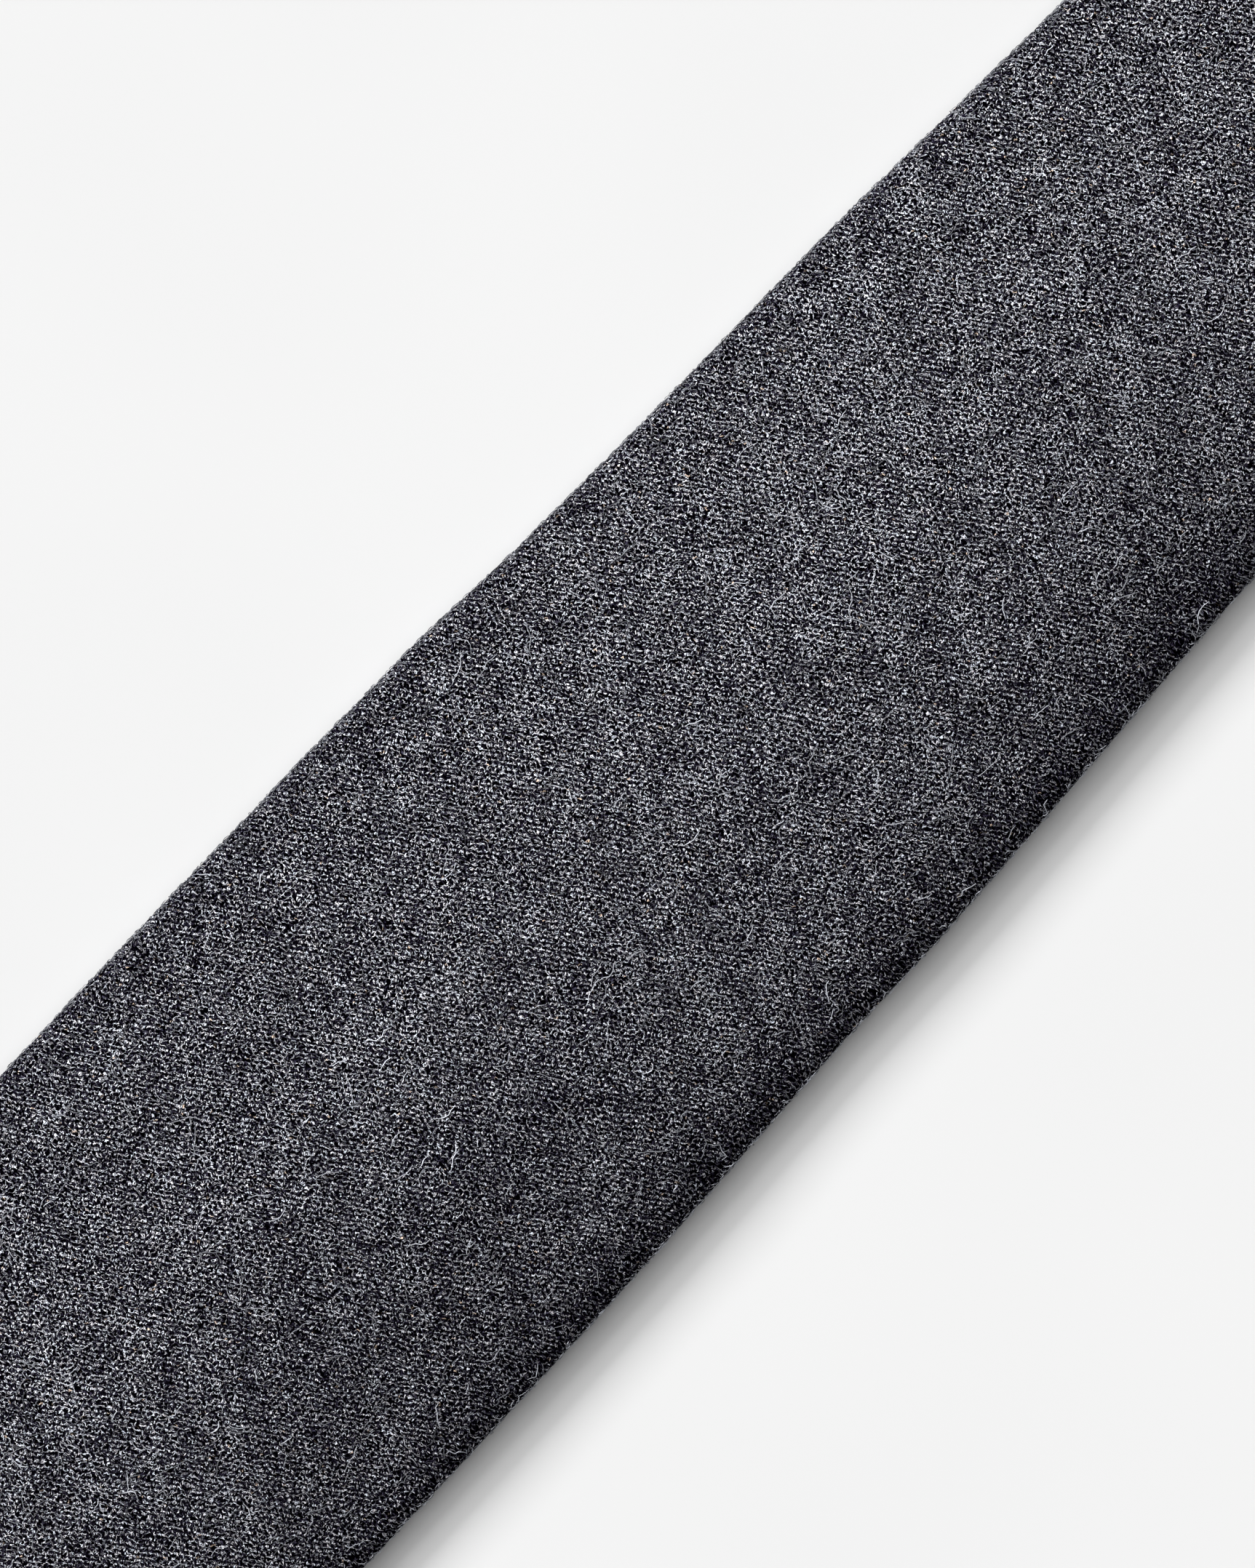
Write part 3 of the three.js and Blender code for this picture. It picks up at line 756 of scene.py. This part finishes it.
def way_at(c, v):
    """The inverse of unrolled: which way a distance across the flat cloth is."""
    far, round_edge = abs(v), np.pi / 2 * c["edge"]
    front = np.minimum(far / c["dome_half"], 1)
    roll = np.clip((far - c["dome_half"]) / round_edge, 0, 1)
    flap = np.clip((far - c["dome_half"] - round_edge) / c["flat"], 0, 1)
    return np.sign(v) * (front + roll + flap)


def cloth_at(s, v):
    """Point and outward normal of the cloth at s and at the place across v; the normal is the cross
    product of two small steps."""
    here = place(s, *cloth_section(s, way_at(section_at(s), v)))
    next_s = s + NORMAL_STEP
    along = place(next_s, *cloth_section(next_s, way_at(section_at(next_s), v))) - here
    across = place(s, *cloth_section(s, way_at(section_at(s), v + NORMAL_STEP))) - here
    return here, unit(np.cross(across, along))


print("normal at 130 mm:", cloth_at(np.array([130.0]), np.array([0.0]))[1].round(2).tolist())

# %% [markdown]
# Blender's hair could grow the fibres, but a finished piece is a mesh, so they are tubes. Each starts at
# a random place, wanders with a slowly turning heading, rises and sinks again. They are four pieces, so
# that none grows too large: the blade's face, its edges with the shortest and closest fibres, the band,
# and the tail. Those on the left edge are duller.

# %% Stray fibres
FIBRE = dict(
    points=6, sides=3, spread=0.75, bend=0.9, wobble=0.35, shortest=0.5, last_way=1.9, lowest=0.15,
    rise=(0.08, 0.92), rise_power=0.6, thin_end=0.45, taper=(0.1, 0.9), dull=0.45, dull_until=400,
)
FIBRE_SORTS = (
    # name, how many, stretch of stations, ways, length, lift, width, tones, seed
    ("blade_fibres", 2000, (8, 262), (0.0, 1.05), (1.2, 4.2), 0.25, (0.05, 0.12), (0.1, 0.9), 31),
    # The edge fibres' tones are lighter than the rest: pale wool, painted lighter still as light on a
    # fringe that lies in shade.
    ("edge_fibres", 4400, (4, 262), (1.25, 1.6), (0.4, 1.3), 0.16, (0.05, 0.1), (0.4, 1.1), 32),
    ("band_fibres", 5600, (262, 1100), (0.0, 1.7), (1.0, 3.2), 0.3, (0.05, 0.1), (0.1, 0.9), 33),
    ("tail_fibres", 3600, (1100, 1462), (0.0, 1.7), (1.0, 3.2), 0.3, (0.05, 0.1), (0.1, 0.9), 34),
)


def fibres(name, count, stretch, ways, length, lift, width, tones, seed):
    """Fibres with roots in a stretch of stations and between two ways. The heading turns evenly along a
    fibre, its height over the cloth is lift * sin(pi t)^0.6, and its ends are thinner."""
    draw = np.random.default_rng(seed)
    s = draw.uniform(*stretch, (count, 1))
    way = draw.uniform(*ways, (count, 1)) * draw.choice([-1.0, 1.0], (count, 1))
    v = unrolled(section_at(s), way)
    t = np.linspace(0, 1, FIBRE["points"])[None, :]
    heading = draw.normal(0, FIBRE["spread"], (count, 1)) + draw.choice([0.0, np.pi], (count, 1))
    turning = draw.normal(0, FIBRE["bend"], (count, 1)) * t
    turning = turning + draw.normal(0, FIBRE["wobble"], (count, FIBRE["points"]))
    size = draw.uniform(*length, (count, 1)) * draw.uniform(FIBRE["shortest"], 1.0, (count, 1))
    step = size / (FIBRE["points"] - 1)
    s = s + np.cumsum(step * np.cos(heading + turning), axis=1)
    v = v + np.cumsum(step * np.sin(heading + turning), axis=1)
    limit = unrolled(section_at(s), FIBRE["last_way"])
    point, normal = cloth_at(s, np.clip(v, -limit, limit))
    arc = np.sin(np.pi * lerp(*FIBRE["rise"], t)) ** FIBRE["rise_power"]
    height = draw.uniform(FIBRE["lowest"], 1.0, (count, 1)) * lift * arc
    lines = point + normal * (height[:, :, None] * MM)
    lines[..., 2] = np.maximum(lines[..., 2], width[1] * MM)
    body = np.sin(np.pi * lerp(*FIBRE["taper"], t))
    thick = draw.uniform(*width, (count, 1)) / 2 * lerp(FIBRE["thin_end"], 1, body)
    left_edge = (way[:, 0] < -1) & (s[:, 0] < FIBRE["dull_until"])
    tone = draw.uniform(*tones, count) * np.where(left_edge, FIBRE["dull"], 1.0)
    return tubes(name, lines, normal, thick * MM, FIBRE["sides"], tone)


FUZZ = [fibres(*sort) for sort in FIBRE_SORTS]
print("fibre faces:", {piece.name: len(piece.data.polygons) for piece in FUZZ})

# %% [markdown]
# A material is a small recipe of nodes, which could be wired by hand in the shader editor. This helper
# adds and joins them instead, so that each recipe below reads as a list of steps. Anything handed to it
# may be a number, a colour or another step.

# %% Recipe helper
class Recipe:
    """The nodes of one material. Steps return sockets, which later steps take as their inputs."""

    def __init__(self, name):
        self.material = bpy.data.materials.new(name)
        self.material.use_nodes = True
        self.tree = self.material.node_tree
        self.tree.nodes.clear()

    def add(self, kind, inputs, **settings):
        """A node of a kind, with settings, and with inputs given by name or number."""
        node = self.tree.nodes.new(kind)
        for name, value in settings.items():
            setattr(node, name, value)
        for name, value in inputs.items():
            if isinstance(value, bpy.types.NodeSocket):
                self.tree.links.new(value, node.inputs[name])
            else:
                node.inputs[name].default_value = value
        return node

    def math(self, operation, *values):
        """Arithmetic on numbers."""
        return self.add("ShaderNodeMath", dict(enumerate(values)), operation=operation).outputs[0]

    def times(self, product, *others):
        """A product of numbers."""
        for other in others:
            product = self.math("MULTIPLY", product, other)
        return product

    def vector(self, operation, *values):
        """Arithmetic on vectors."""
        node = self.add("ShaderNodeVectorMath", dict(enumerate(values)), operation=operation)
        return node.outputs["Value" if operation in ("LENGTH", "DOT_PRODUCT") else "Vector"]

    def parts(self, value):
        """The three numbers of a vector or colour."""
        return self.add("ShaderNodeSeparateXYZ", {0: value}).outputs

    def turned(self, place, angle):
        """A place turned about the vertical."""
        inputs = {"Vector": place, "Angle": angle}
        return self.add("ShaderNodeVectorRotate", inputs, rotation_type="Z_AXIS").outputs[0]

    def place_on_map(self, offset=(0, 0, 0)):
        """The piece's fabric map, in mm along the two yarn directions."""
        uv = self.add("ShaderNodeUVMap", {}, uv_map="fabric").outputs["UV"]
        return self.vector("ADD", uv, offset)

    def noise(self, place, scale, detail=1.0, rough=0.5, output="Fac"):
        """Smooth noise over two directions, scale cycles per mm."""
        inputs = {"Vector": place, "Scale": scale, "Detail": detail, "Roughness": rough}
        return self.add("ShaderNodeTexNoise", inputs, noise_dimensions="2D").outputs[output]

    def drawn_noise(self, place, stretch, detail=2.0):
        """Noise with its own cycles per mm in each direction."""
        return self.noise(self.vector("MULTIPLY", place, (*stretch, 0)), 1.0, detail)

    def rise(self, value, low, high, to_low=0.0, to_high=1.0):
        """Smooth step of a value from low to high."""
        inputs = {"Value": value, "From Min": low, "From Max": high, "To Min": to_low, "To Max": to_high}
        return self.add("ShaderNodeMapRange", inputs, interpolation_type="SMOOTHSTEP").outputs["Result"]

    def blend(self, share, one, other):
        """From one colour to another by a share."""
        node = self.add("ShaderNodeMix", {0: share, 6: one, 7: other}, data_type="RGBA")
        return node.outputs[2]

    def tint(self, share, colour):
        """A colour times a number."""
        grey = self.add("ShaderNodeCombineXYZ", {0: share, 1: share, 2: share}).outputs[0]
        return self.vector("MULTIPLY", grey, colour)

    def finish(self, colour, roughness, shine, height=None, depth=0.0):
        """The surface shader, with relief where a height is given: depth is metres for a height of 1."""
        inputs = {"Base Color": colour, "Roughness": roughness, "Specular IOR Level": shine}
        if height is not None:
            bump = self.add("ShaderNodeBump", {"Height": height, "Distance": depth, "Strength": 1.0})
            inputs["Normal"] = bump.outputs["Normal"]
        shader = self.add("ShaderNodeBsdfPrincipled", inputs)
        self.add("ShaderNodeOutputMaterial", {"Surface": shader.outputs["BSDF"]})
        return self.material


print("recipe steps:", [step for step in vars(Recipe) if not step.startswith("_")])

# %% [markdown]
# The cloth is a brushed wool twill. Its loops show as short light grains of fibre over near black
# gaps, and no two are alike. A tiled picture could cover it, but would repeat and blur from close up, so
# nodes draw it. Each grain sits in a cell of a jittered lattice whose two spacings were measured in the
# photograph. A second, finer set of thin strokes crosses the first.

# %% Grains in a jittered lattice
GRAINS = dict(
    spacing=(0.215, 0.28), half=(0.19, 0.054), turn=np.radians(-14), lean=np.radians(112),
    spread=np.radians(125), shift=3.1,
)
STROKES = dict(
    spacing=(0.3, 0.2), half=(0.27, 0.04), turn=0.0, lean=np.radians(12),
    spread=np.radians(100), shift=9.4,
)
GRAIN_RIM = (1.0, 0.5)


def grain_layer(r, place, layer):
    """Ovals in the cells of a jittered lattice, each turned by its own number. Returns how far inside
    its oval a place is, 0 at the rim and 1 in the middle, and the cell's three random numbers."""
    spacing, half, turn, spread = layer["spacing"], layer["half"], layer["turn"], layer["spread"]
    shifted = r.vector("ADD", r.turned(place, -turn), (layer["shift"], spacing[1] / 2, 0))
    cells = r.vector("DIVIDE", shifted, (*spacing, 1))
    inputs = {"Vector": cells, "Scale": 1.0, "Randomness": 1.0}
    lattice = r.add("ShaderNodeTexVoronoi", inputs, voronoi_dimensions="2D")
    away = r.vector("SUBTRACT", cells, lattice.outputs["Position"])
    away = r.vector("MULTIPLY", away, (*spacing, 0))
    dice = r.parts(lattice.outputs["Color"])
    angle = r.math("MULTIPLY_ADD", dice[0], spread, turn - layer["lean"] - spread / 2)
    radius = r.vector("LENGTH", r.vector("DIVIDE", r.turned(away, angle), (*half, 1)))
    return r.rise(radius, *GRAIN_RIM), dice


print("grains for each square mm:", round(1 / np.prod(GRAINS["spacing"]), 1))

# %% [markdown]
# The twill shows as slanting rows of grains. Every yarn could be modelled, but there are thousands, so
# three cosine waves, whose spacings and turns were measured in the photograph, dim the grains between
# the rows. They and the grains are read at a place that noise has bent, or they would look printed.
# Noise stretched along each yarn direction makes lighter and darker yarns.

# %% Twill rows and yarn streaks
TWILL_WAVES = table("spacing turn share", (0.497, 78, 0.85), (0.54, 25, 0.5), (0.6, 132.6, 0.45))
ROW_RISE = (-0.95, 0.9, 0.02, 1.21)
BENDS = (dict(scale=0.4, detail=2.0, by=0.7), dict(scale=3.2, detail=1.0, by=0.3))
WEFT_STRETCH, WARP_STRETCH = (0.07, 0.9), (0.8, 0.06)
STREAK_RISE = (0.2, 0.8, 0.78, 1.22)
BLOTCH = dict(scale=0.16, detail=3.0, rough=0.6)
BLOTCH_RISE = (0.25, 0.75, 0.86, 1.14)


def bent_place(r, place):
    """The place moved by a slow and a quick noise: by mm times the noise less one half, each way."""
    bent = place
    for bend in BENDS:
        noise = r.noise(place, bend["scale"], bend["detail"], output="Color")
        shift = r.vector("SUBTRACT", noise, (0.5, 0.5, 0.5))
        bent = r.vector("ADD", bent, r.vector("MULTIPLY", shift, (bend["by"], bend["by"], 0)))
    return bent


def twill_rows(r, place):
    """Smooth step of the sum of share * cos(2 pi distance / spacing) over the three waves."""
    rows = 0.0
    for wave in TWILL_WAVES:
        turn = np.radians(wave["turn"])
        cycles = 2 * np.pi / wave["spacing"] * np.array([np.cos(turn), np.sin(turn), 0])
        swing = r.math("COSINE", r.vector("DOT_PRODUCT", place, cycles))
        rows = r.math("MULTIPLY_ADD", swing, wave["share"], rows)
    return r.rise(rows, *ROW_RISE)


def yarn_streaks(r, flat):
    """Product of a noise stretched along the weft, one along the warp, and a slow one."""
    weft = r.rise(r.drawn_noise(flat, WEFT_STRETCH), *STREAK_RISE)
    warp = r.rise(r.drawn_noise(flat, WARP_STRETCH), *STREAK_RISE)
    blotch = r.rise(r.noise(flat, **BLOTCH), *BLOTCH_RISE)
    return r.times(weft, warp, blotch)


print("twill waves, mm:", TWILL_WAVES["spacing"].tolist(), "turned", TWILL_WAVES["turn"].tolist())

# %% [markdown]
# Most grains are dim and a few are bright, so a grain's own number is raised to a power. The dark gaps
# are bluer than the light fibres, and a fleck here and there is brown. The grains and strokes also
# stand up a little. They could be meshes, but at a tenth of a millimetre high relief is enough.

# %% Wool twill
GRAIN_POWER = 1.85
GRAIN_LIGHT = (2.02, 0.035)
STROKE_RISE = (0.3, 1.0)
STROKE_LIGHT = 1.2
DARKEST = 0.0003
COOL_GREYS = ((0.92, 0.98, 1.11, 1), (1.03, 0.99, 1.05, 1))
DARK_BLUE = (1.02, 0.84, 1.5, 1)
DARK_UNTIL = 0.14
FLECK_RISE = (0.988, 0.994)
FLECK_BROWN = (1.1, 0.85, 0.68, 1)
STROKE_RELIEF = 0.7
WOOL_RELIEF = 0.00009
WOOL_ROUGHNESS = 0.85
WHITE = (1, 1, 1, 1)


def wool_twill(name, offset):
    """Light = the brighter of the grain, by its number to a power, and the stroke, by its number; times
    the yarn streaks, the painted shade and the rows. Colour = light times a grey, bluer where it is
    dark."""
    r = Recipe(name)
    flat = r.place_on_map(offset)
    bent = bent_place(r, flat)
    grain, grain_dice = grain_layer(r, bent, GRAINS)
    stroke, stroke_dice = grain_layer(r, bent, STROKES)
    # The painted shade stored at each point darkens the colour.
    nap = r.add("ShaderNodeAttribute", {}, attribute_name="nap").outputs["Fac"]
    own = r.math("MULTIPLY_ADD", r.math("POWER", grain_dice[1], GRAIN_POWER), *GRAIN_LIGHT)
    thin = r.times(r.rise(stroke_dice[1], *STROKE_RISE), STROKE_LIGHT, stroke)
    light = r.math("MAXIMUM", r.times(own, grain), thin)
    light = r.times(light, r.times(yarn_streaks(r, flat), nap), twill_rows(r, bent))
    light = r.math("ADD", r.math("MINIMUM", light, 1.0), DARKEST)
    deep = r.blend(r.rise(light, 0.0, DARK_UNTIL), DARK_BLUE, WHITE)
    cool = r.vector("MULTIPLY", r.blend(grain_dice[2], *COOL_GREYS), deep)
    cool = r.blend(r.rise(stroke_dice[2], *FLECK_RISE), cool, FLECK_BROWN)
    height = r.math("MAXIMUM", grain, r.times(stroke, STROKE_RELIEF))
    return r.finish(r.tint(light, cool), WOOL_ROUGHNESS, 0.0, height, WOOL_RELIEF)


OWN_CUTTINGS = {
    blade: ("blade wool twill", (0, 0, 0)),
    neckband: ("neckband wool twill", (41.3, 17.9, 0)),
    tail: ("tail wool twill", (83.1, 5.7, 0)),
    keeper: ("strap wool twill", (12.7, 63.9, 0)),
}
FINISHES = {piece: ("wool_twill", wool_twill(*cutting)) for piece, cutting in OWN_CUTTINGS.items()}
print("nodes in the wool:", len(FINISHES[blade][1].node_tree.nodes))

# %% [markdown]
# A loose fibre is pale grey, lighter or darker by its own number, which its map keeps, so that one
# material serves them all. The facing is smooth dark lining that shines a little, and the thread shows
# short ply marks. Plain colours could do for both, but would look like plastic from close up. Each piece
# then gets its finish.

# %% Other finishes
FUZZ_LIGHT = dict(power=1.5, along=(90, 3), rise=(0.2, 0.8, 0.4, 0.75), least=0.03)
LINING = dict(rows=(9, 1.2), rise=(0.2, 0.8, 0.012, 0.03), slow=0.1, slow_rise=(0.3, 0.7, 0.8, 1.2))
PLY = dict(marks=(40, 26), rise=(0.3, 0.7, 0.015, 0.07))
FUZZ_GREY, LINING_GREY, PLY_GREY = (0.94, 0.97, 1.07), (0.95, 0.98, 1.1), (0.97, 0.98, 1.05)
FINE_RELIEF = 0.00002


def fibre_wool(name):
    """Light = the fibre's number to a power, times noise along the fibre, plus the least."""
    r = Recipe(name)
    flat = r.place_on_map()
    along = r.rise(r.drawn_noise(flat, FUZZ_LIGHT["along"], 1.0), *FUZZ_LIGHT["rise"])
    own = r.math("POWER", r.parts(flat)[0], FUZZ_LIGHT["power"])
    light = r.math("ADD", r.times(own, along), FUZZ_LIGHT["least"])
    return r.finish(r.tint(light, FUZZ_GREY), 0.7, 0.06)


def facing_cloth(name):
    """Light = fine warp rows, times a slow noise; the rows are its relief too."""
    r = Recipe(name)
    flat = r.place_on_map()
    rows = r.drawn_noise(flat, LINING["rows"])
    slow = r.rise(r.noise(flat, LINING["slow"]), *LINING["slow_rise"])
    light = r.times(r.rise(rows, *LINING["rise"]), slow)
    return r.finish(r.tint(light, LINING_GREY), 0.38, 0.5, rows, FINE_RELIEF)


def thread_ply(name):
    """Light = short marks along each strand, from stretched noise, which are its relief too."""
    r = Recipe(name)
    marks = r.drawn_noise(r.place_on_map(), PLY["marks"], 1.0)
    return r.finish(r.tint(r.rise(marks, *PLY["rise"]), PLY_GREY), 0.55, 0.5, marks, FINE_RELIEF)


FINISHES[blade_facing] = ("facing", facing_cloth("blade facing cloth"))
FINISHES[tail_facing] = ("facing", facing_cloth("tail facing cloth"))
FINISHES[blade_tack] = ("thread", thread_ply("blade tack thread"))
FINISHES[tail_tack] = ("thread", thread_ply("tail tack thread"))
loose_wool = fibre_wool("loose wool fibre")
FINISHES.update({piece: ("wool_twill", loose_wool) for piece in FUZZ})
for piece, (slot, material) in FINISHES.items():
    piece.data.materials.append(material)
print("finished pieces:", len(FINISHES))

# %% [markdown]
# Each new piece stands for one solid of the packed model, and that solid is hidden. The three lengths,
# the strap and the facings are sheets of cloth.

# %% What the pieces stand for
STANDS_FOR = {
    blade: "blade_shell",
    neckband: "neck_shell",
    tail: "tail_shell",
    blade_facing: "blade_tipping",
    tail_facing: "tail_tipping",
    keeper: "keeper_loop",
    blade_tack: "blade_bar_tack",
    tail_tack: "tail_bar_tack",
}
for piece, node in STANDS_FOR.items():
    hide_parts(node)


# %% [markdown]
# The tie lies on a plain pale floor. A pale world could stand for it, but would catch no shadow, so it
# is one large square, whose shade wavers by one part in a hundred.

# %% Floor
FLOOR_HALF = 15.0
FLOOR_DROP = 0.05
FLOOR_RISE = (0.2, 0.8, 0.645, 0.655)
FLOOR_NOISE = 0.02
floor_corners = np.array([(-1, -1, 0), (1, -1, 0), (1, 1, 0), (-1, 1, 0)], float) * FLOOR_HALF
floor_corners[:, 2] = -FLOOR_DROP * MM
floor_mesh = mesh_of("floor", floor_corners, [np.array([[0, 1, 2, 3]])], floor_corners[:, :2] / MM)
floor = linked("floor", floor_mesh)
paper = Recipe("pale paper")
shade = paper.rise(paper.noise(paper.place_on_map(), FLOOR_NOISE), *FLOOR_RISE)
floor.data.materials.append(paper.finish(paper.tint(shade, (1, 1, 1)), 0.9, 0.1))
print("floor, m:", 2 * FLOOR_HALF)

# %% [markdown]
# The shadow along the right edge tells how the tie was lit. It fades evenly over a centimetre, so the
# light comes from a tall arc on the left, strongest low down. One bent lamp could be that arc, but area
# lamps are flat, so four share it, far off so that the floor is evenly lit, and hidden from the camera.
# The world adds a little light.

# %% Lamps
LAMP_DISTANCE = 24.0
LAMP_LENGTH = 22.5
LAMPS = (
    # name, elevation, width, power
    ("key", 24, 5.9, 9080),
    ("high", 38.5, 6.3, 3040),
    ("middle", 53, 5.9, 1040),
    ("overhead", 86, 23.4, 2700),
)
WORLD_LIGHT = 0.05


def lamp(name, elevation, width, power):
    """A soft rectangular lamp at an elevation, in degrees, on the blade's left and facing it."""
    data = bpy.data.lights.new(name, "AREA")
    data.shape = "RECTANGLE"
    data.size, data.size_y = width, LAMP_LENGTH
    data.energy = power
    angle = np.radians(elevation)
    made = linked(name, data)
    x, z = BLADE_MIDDLE - LAMP_DISTANCE * np.cos(angle), LAMP_DISTANCE * np.sin(angle)
    made.location = (x, BLADE_TIP_Y + VIEW_ALONG, z)
    made.rotation_euler = (0, angle - np.pi / 2, 0)
    made.visible_camera = False
    return made


for row in LAMPS:
    made = lamp(*row)
    print(made.name, "lamp at, m:", [round(number, 1) for number in made.location])
world = bpy.data.worlds.new("world")
world.use_nodes = True
background = world.node_tree.nodes["Background"].inputs
background["Color"].default_value = WHITE
background["Strength"].default_value = WORLD_LIGHT
bpy.context.scene.world = world
bpy.context.scene.view_settings.view_transform = "Standard"

# %% [markdown]
